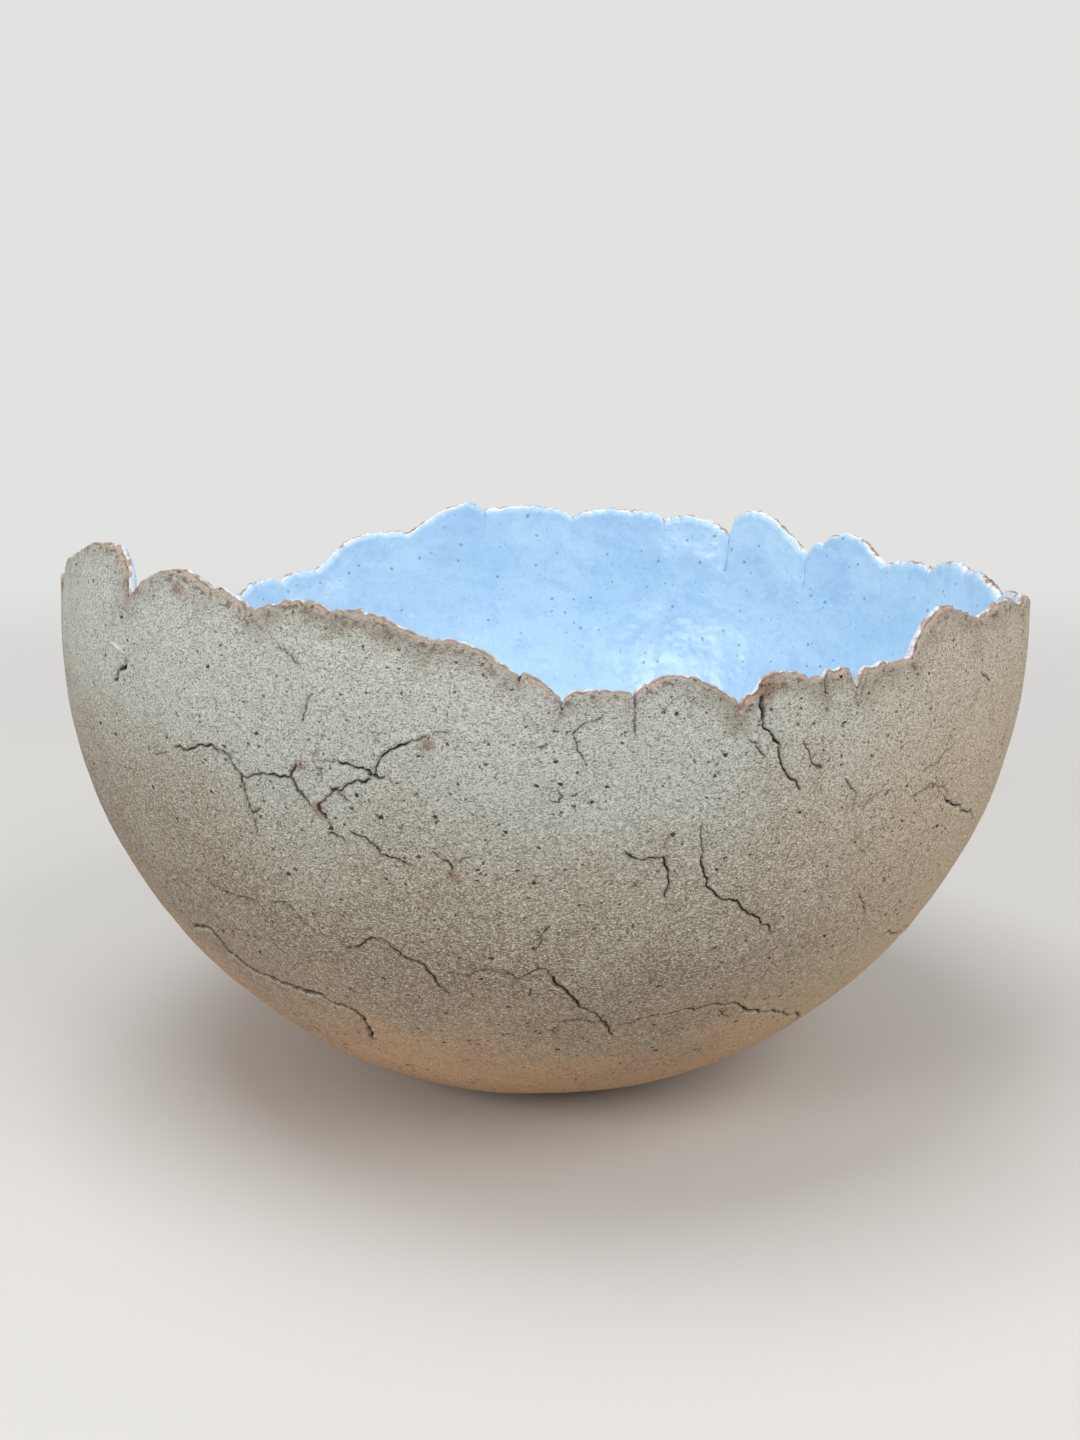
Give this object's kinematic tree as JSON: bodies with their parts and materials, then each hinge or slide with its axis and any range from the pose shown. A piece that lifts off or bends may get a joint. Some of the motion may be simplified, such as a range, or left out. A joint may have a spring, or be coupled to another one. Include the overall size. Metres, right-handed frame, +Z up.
{
  "type": "bowl",
  "caption": "Deep round hand-built stoneware bowl with a torn, cracked rim, a glazed inside and a flat foot.",
  "frame": {"origin": "centre of the flat face of the foot", "axes": "+Z up out of the bowl's mouth; -Y towards the front, where the rim dips lowest; +X to the right as seen from the front"},
  "size_m": [0.25, 0.25, 0.1485],
  "materials": {
    "stoneware": "matte, sandy, speckled",
    "glaze": "gloss, pale blue, lightly specked"
  },
  "bodies": {
    "root": {"bowl": "stoneware"}
  },
  "joints": []
}
